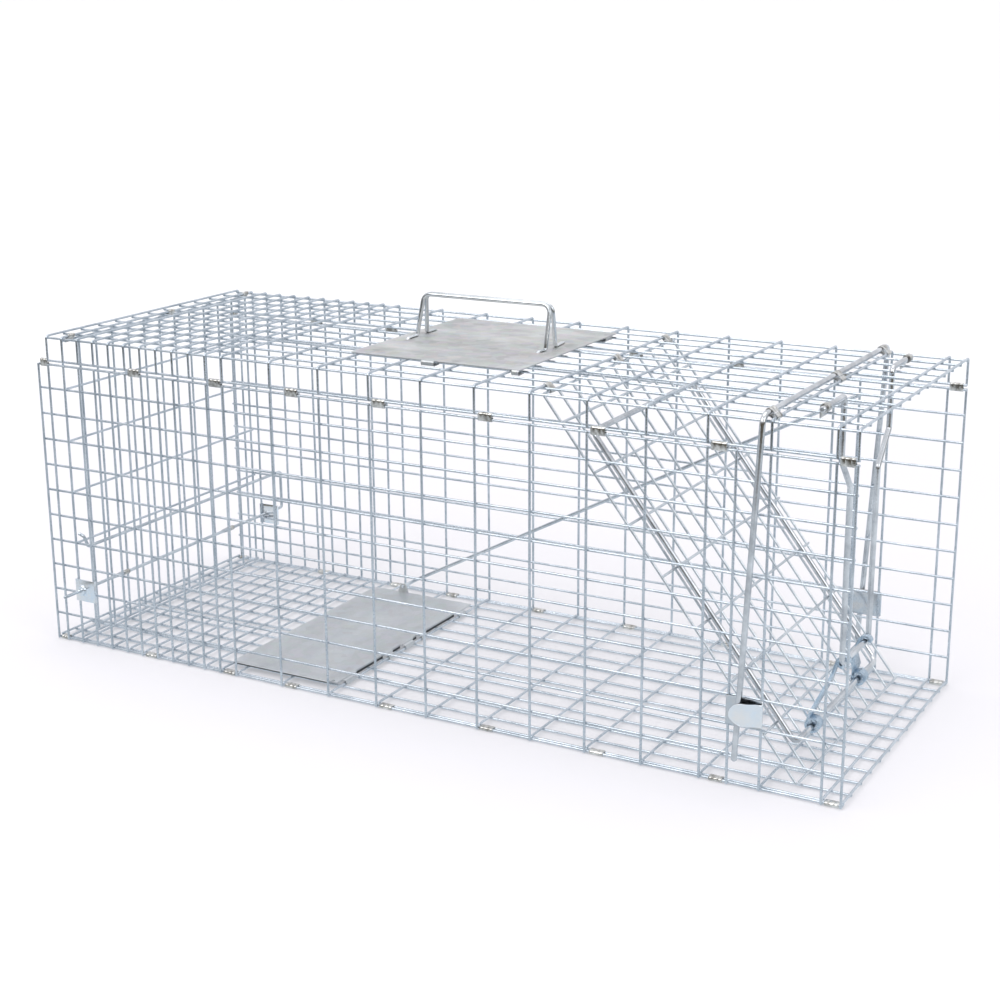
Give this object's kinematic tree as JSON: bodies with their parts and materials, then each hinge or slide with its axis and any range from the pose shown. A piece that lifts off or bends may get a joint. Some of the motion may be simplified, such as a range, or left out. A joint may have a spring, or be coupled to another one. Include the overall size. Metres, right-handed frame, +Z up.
{
  "type": "live catch trap",
  "caption": "Welded wire mesh cage trap with a sloping drop door, gravity lock frame, treadle pan, trigger rod, lockable rear panel and top carry handle.",
  "frame": {"origin": "centre of the cage footprint, on the resting plane under the floor seam clips", "axes": "+X towards the door end, +Y to the left side that carries the trigger rod, +Z up; door closed, treadle pan down"},
  "size_m": [0.8116, 0.3576, 0.351],
  "materials": {
    "mesh_wire": "galvanised, satin",
    "clip_sheet": "zinc plated, slightly warm",
    "frame_rod": "zinc plated, bright",
    "link_plate": "blue zinc plated",
    "keeper_sheet": "zinc plated, bright",
    "spring_wire": "zinc plated spring wire",
    "pan_sheet": "galvanised sheet, matte",
    "guard_sheet": "galvanised sheet, matte with faint mottling",
    "handle_wire": "bright zinc plated"
  },
  "bodies": {
    "cage": {"floor_panel": "mesh_wire", "right_side_panel": "mesh_wire", "left_side_panel": "mesh_wire", "top_panel": "mesh_wire", "rear_panel": "mesh_wire", "right_top_seam_clips": "clip_sheet", "left_top_seam_clips": "clip_sheet", "right_floor_seam_clips": "clip_sheet", "left_floor_seam_clips": "clip_sheet", "rear_panel_clips": "clip_sheet", "door_hinge_clips": "clip_sheet", "lock_frame_pin_clips": "clip_sheet", "brace_frame_clips": "clip_sheet", "front_keeper_right": "keeper_sheet", "front_keeper_left": "keeper_sheet", "rear_keeper_right": "keeper_sheet", "rear_keeper_left": "keeper_sheet", "rear_lock_rod_clips": "clip_sheet", "handle_guard_plate": "guard_sheet", "carry_handle": "handle_wire"},
    "door": {"door_panel": "mesh_wire", "door_stiffener_frame": "frame_rod"},
    "lock_frame": {"lock_frame": "frame_rod"},
    "lock_link_right": {"lock_link_right": "link_plate"},
    "lock_link_left": {"lock_link_left": "link_plate"},
    "brace_frame": {"brace_frame": "frame_rod"},
    "rear_lock_rod": {"rear_lock_rod": "spring_wire"},
    "treadle_pan": {"treadle_pan": "pan_sheet"},
    "trigger_rod": {"trigger_rod": "spring_wire"}
  },
  "joints": [
    {"name": "door_swing", "type": "hinge", "parent": "cage", "child": "door", "pos_m": [0.13225, 0, 0.3026], "axis": [0, -1, 0], "range_deg": [0, 42]},
    {"name": "lock_frame_swing", "type": "hinge", "parent": "cage", "child": "lock_frame", "pos_m": [0.36325, 0, 0.31075], "axis": [0, -1, 0], "range_deg": [0, 71.4]},
    {"name": "lock_link_right_swing", "type": "hinge", "parent": "door", "child": "lock_link_right", "pos_m": [0.34986, -0.06, 0.02845], "axis": [0, -1, 0], "range_deg": [0, 10.5]},
    {"name": "lock_link_left_swing", "type": "hinge", "parent": "door", "child": "lock_link_left", "pos_m": [0.34986, 0.06, 0.02845], "axis": [0, -1, 0], "range_deg": [0, 10.5]},
    {"name": "brace_frame_swing", "type": "hinge", "parent": "cage", "child": "brace_frame", "pos_m": [0.33065, 0, 0.31075], "axis": [0, 1, 0], "range_deg": [0, 90]},
    {"name": "rear_lock_slide", "type": "slide", "parent": "cage", "child": "rear_lock_rod", "axis": [0, 1, 0], "range_m": [0, 0.035]},
    {"name": "pan_tilt", "type": "hinge", "parent": "cage", "child": "treadle_pan", "pos_m": [-0.08082, 0, 0.00401], "axis": [0, 1, 0], "range_deg": [0, 8]},
    {"name": "trigger_rod_tilt", "type": "hinge", "parent": "treadle_pan", "child": "trigger_rod", "pos_m": [-0.16575, 0.1155, 0.014], "axis": [0, 1, 0], "range_deg": [-6.8, 0]}
  ],
  "couplings": [
    {"joint": "lock_frame_swing", "follows": "door_swing", "ratio": 1.7},
    {"joint": "lock_link_right_swing", "follows": "door_swing", "ratio": 0.25},
    {"joint": "lock_link_left_swing", "follows": "door_swing", "ratio": 0.25},
    {"joint": "trigger_rod_tilt", "follows": "pan_tilt", "ratio": -0.85}
  ]
}
